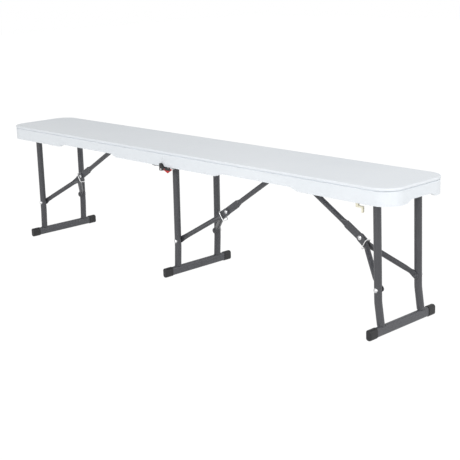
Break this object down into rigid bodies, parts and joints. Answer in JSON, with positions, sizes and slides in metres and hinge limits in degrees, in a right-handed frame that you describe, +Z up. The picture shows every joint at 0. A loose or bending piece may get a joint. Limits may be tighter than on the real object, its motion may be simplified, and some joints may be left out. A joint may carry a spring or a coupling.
{
  "type": "folding bench",
  "caption": "Long folding bench: moulded seat in two hinged halves on folding leg frames with jointed braces and lock rings.",
  "frame": {"origin": "on the floor, at the middle of the bench's overall box", "axes": "+X along the seat from the left end to the right end, as the picture shows them; +Y from the front to the back across the seat; +Z up"},
  "size_m": [1.83, 0.2936, 0.421],
  "materials": {
    "seat_plastic": "moulded polyethylene, light grey-white, fine satin grain",
    "frame_paint": "dark grey powder coat",
    "bracket_steel": "pressed sheet, dark grey powder coat",
    "hinge_steel": "pressed sheet, dark coat",
    "ring_steel": "bright zinc plated wire",
    "pin_steel": "zinc plated, dull",
    "cap_black": "black moulded caps",
    "lock_black": "black moulded housing",
    "lever_red": "red moulded lever",
    "clip_cream": "cream moulded clip"
  },
  "bodies": {
    "right_half": {"brace_anchor_right": "bracket_steel", "hinge_leaf_right_back": "hinge_steel", "hinge_leaf_right_front": "hinge_steel", "hinge_pin_back": "pin_steel", "hinge_pin_front": "pin_steel", "leg_clip": "clip_cream", "lock_housing": "lock_black", "middle_anchor_pin": "pin_steel", "middle_leg_bracket_back": "bracket_steel", "middle_leg_bracket_front": "bracket_steel", "right_anchor_pin": "pin_steel", "right_leg_bracket_back": "bracket_steel", "right_leg_bracket_front": "bracket_steel", "screws_right_half": "pin_steel", "seat_right": "seat_plastic"},
    "left_half": {"brace_anchor_left": "bracket_steel", "hinge_leaf_left_back": "hinge_steel", "hinge_leaf_left_front": "hinge_steel", "left_anchor_pin": "pin_steel", "left_leg_bracket_back": "bracket_steel", "left_leg_bracket_front": "bracket_steel", "screws_left_half": "pin_steel", "seat_left": "seat_plastic"},
    "left_leg": {"left_leg_arm_rivets": "pin_steel", "left_leg_cross_bar": "frame_paint", "left_leg_foot_bar": "frame_paint", "left_leg_foot_cap_back": "cap_black", "left_leg_foot_cap_front": "cap_black", "left_leg_upright_back": "frame_paint", "left_leg_upright_front": "frame_paint"},
    "left_link": {"left_brace_link": "frame_paint"},
    "left_arms": {"left_brace_arm_back": "frame_paint", "left_brace_arm_front": "frame_paint", "left_knee_rivet": "pin_steel"},
    "left_ring": {"left_lock_ring": "ring_steel"},
    "middle_leg": {"middle_leg_arm_rivets": "pin_steel", "middle_leg_cross_bar": "frame_paint", "middle_leg_foot_bar": "frame_paint", "middle_leg_foot_cap_back": "cap_black", "middle_leg_foot_cap_front": "cap_black", "middle_leg_upright_back": "frame_paint", "middle_leg_upright_front": "frame_paint"},
    "middle_link": {"middle_brace_link": "frame_paint"},
    "middle_arms": {"middle_brace_arm_back": "frame_paint", "middle_brace_arm_front": "frame_paint", "middle_knee_rivet": "pin_steel"},
    "middle_ring": {"middle_lock_ring": "ring_steel"},
    "right_leg": {"right_leg_arm_rivets": "pin_steel", "right_leg_cross_bar": "frame_paint", "right_leg_foot_bar": "frame_paint", "right_leg_foot_cap_back": "cap_black", "right_leg_foot_cap_front": "cap_black", "right_leg_upright_back": "frame_paint", "right_leg_upright_front": "frame_paint"},
    "right_link": {"right_brace_link": "frame_paint"},
    "right_arms": {"right_brace_arm_back": "frame_paint", "right_brace_arm_front": "frame_paint", "right_knee_rivet": "pin_steel"},
    "right_ring": {"right_lock_ring": "ring_steel"},
    "lever": {"lock_lever": "lever_red"}
  },
  "joints": [
    {"name": "seat_fold", "type": "hinge", "parent": "right_half", "child": "left_half", "pos_m": [0, 0, 0.363], "axis": [0, -1, 0], "range_deg": [0, 180]},
    {"name": "left_leg_fold", "type": "hinge", "parent": "left_half", "child": "left_leg", "pos_m": [-0.7815, 0, 0.3835], "axis": [0, -1, 0], "range_deg": [0, 89.84]},
    {"name": "left_link_fold", "type": "hinge", "parent": "left_half", "child": "left_link", "pos_m": [-0.379, 0, 0.3935], "axis": [0, 1, 0], "range_deg": [0, 30.22]},
    {"name": "left_knee_fold", "type": "hinge", "parent": "left_link", "child": "left_arms", "pos_m": [-0.65178, 0, 0.23231], "axis": [0, -1, 0], "range_deg": [0, 167.73]},
    {"name": "left_ring_slide", "type": "slide", "parent": "left_link", "child": "left_ring", "axis": [0.8609, 0, 0.5087], "range_m": [0, 0.15]},
    {"name": "middle_leg_fold", "type": "hinge", "parent": "right_half", "child": "middle_leg", "pos_m": [0.0165, 0, 0.3835], "axis": [0, -1, 0], "range_deg": [0, 90.06]},
    {"name": "middle_link_fold", "type": "hinge", "parent": "right_half", "child": "middle_link", "pos_m": [0.4162, 0, 0.3935], "axis": [0, 1, 0], "range_deg": [0, 33.29]},
    {"name": "middle_knee_fold", "type": "hinge", "parent": "middle_link", "child": "middle_arms", "pos_m": [0.1566, 0, 0.22063], "axis": [0, -1, 0], "range_deg": [0, 173.35]},
    {"name": "middle_ring_slide", "type": "slide", "parent": "middle_link", "child": "middle_ring", "axis": [0.8323, 0, 0.5543], "range_m": [0, 0.15]},
    {"name": "right_leg_fold", "type": "hinge", "parent": "right_half", "child": "right_leg", "pos_m": [0.8415, 0, 0.3835], "axis": [0, 1, 0], "range_deg": [0, 90.86]},
    {"name": "right_link_fold", "type": "hinge", "parent": "right_half", "child": "right_link", "pos_m": [0.4477, 0, 0.3935], "axis": [0, -1, 0], "range_deg": [0, 30.91]},
    {"name": "right_knee_fold", "type": "hinge", "parent": "right_link", "child": "right_arms", "pos_m": [0.71201, 0, 0.23293], "axis": [0, 1, 0], "range_deg": [0, 170.19]},
    {"name": "right_ring_slide", "type": "slide", "parent": "right_link", "child": "right_ring", "axis": [-0.8547, 0, 0.5192], "range_m": [0, 0.15]},
    {"name": "lever_press", "type": "hinge", "parent": "right_half", "child": "lever", "pos_m": [0.017, -0.1348, 0.3652], "axis": [0, 1, 0], "range_deg": [0, 18], "stiffness_Nm_per_rad": 0.02, "springref_deg": -17.19}
  ],
  "couplings": [
    {"joint": "left_leg_fold", "follows": "seat_fold", "ratio": 0.49913},
    {"joint": "left_link_fold", "follows": "seat_fold", "ratio": 0.16787},
    {"joint": "left_knee_fold", "follows": "seat_fold", "ratio": 0.93184},
    {"joint": "left_ring_slide", "follows": "seat_fold", "m_per_rad": 0.047746},
    {"joint": "middle_leg_fold", "follows": "seat_fold", "ratio": 0.50034},
    {"joint": "middle_link_fold", "follows": "seat_fold", "ratio": 0.18496},
    {"joint": "middle_knee_fold", "follows": "seat_fold", "ratio": 0.96308},
    {"joint": "middle_ring_slide", "follows": "seat_fold", "m_per_rad": 0.047746},
    {"joint": "right_leg_fold", "follows": "seat_fold", "ratio": 0.50476},
    {"joint": "right_link_fold", "follows": "seat_fold", "ratio": 0.17171},
    {"joint": "right_knee_fold", "follows": "seat_fold", "ratio": 0.94549},
    {"joint": "right_ring_slide", "follows": "seat_fold", "m_per_rad": 0.047746}
  ]
}
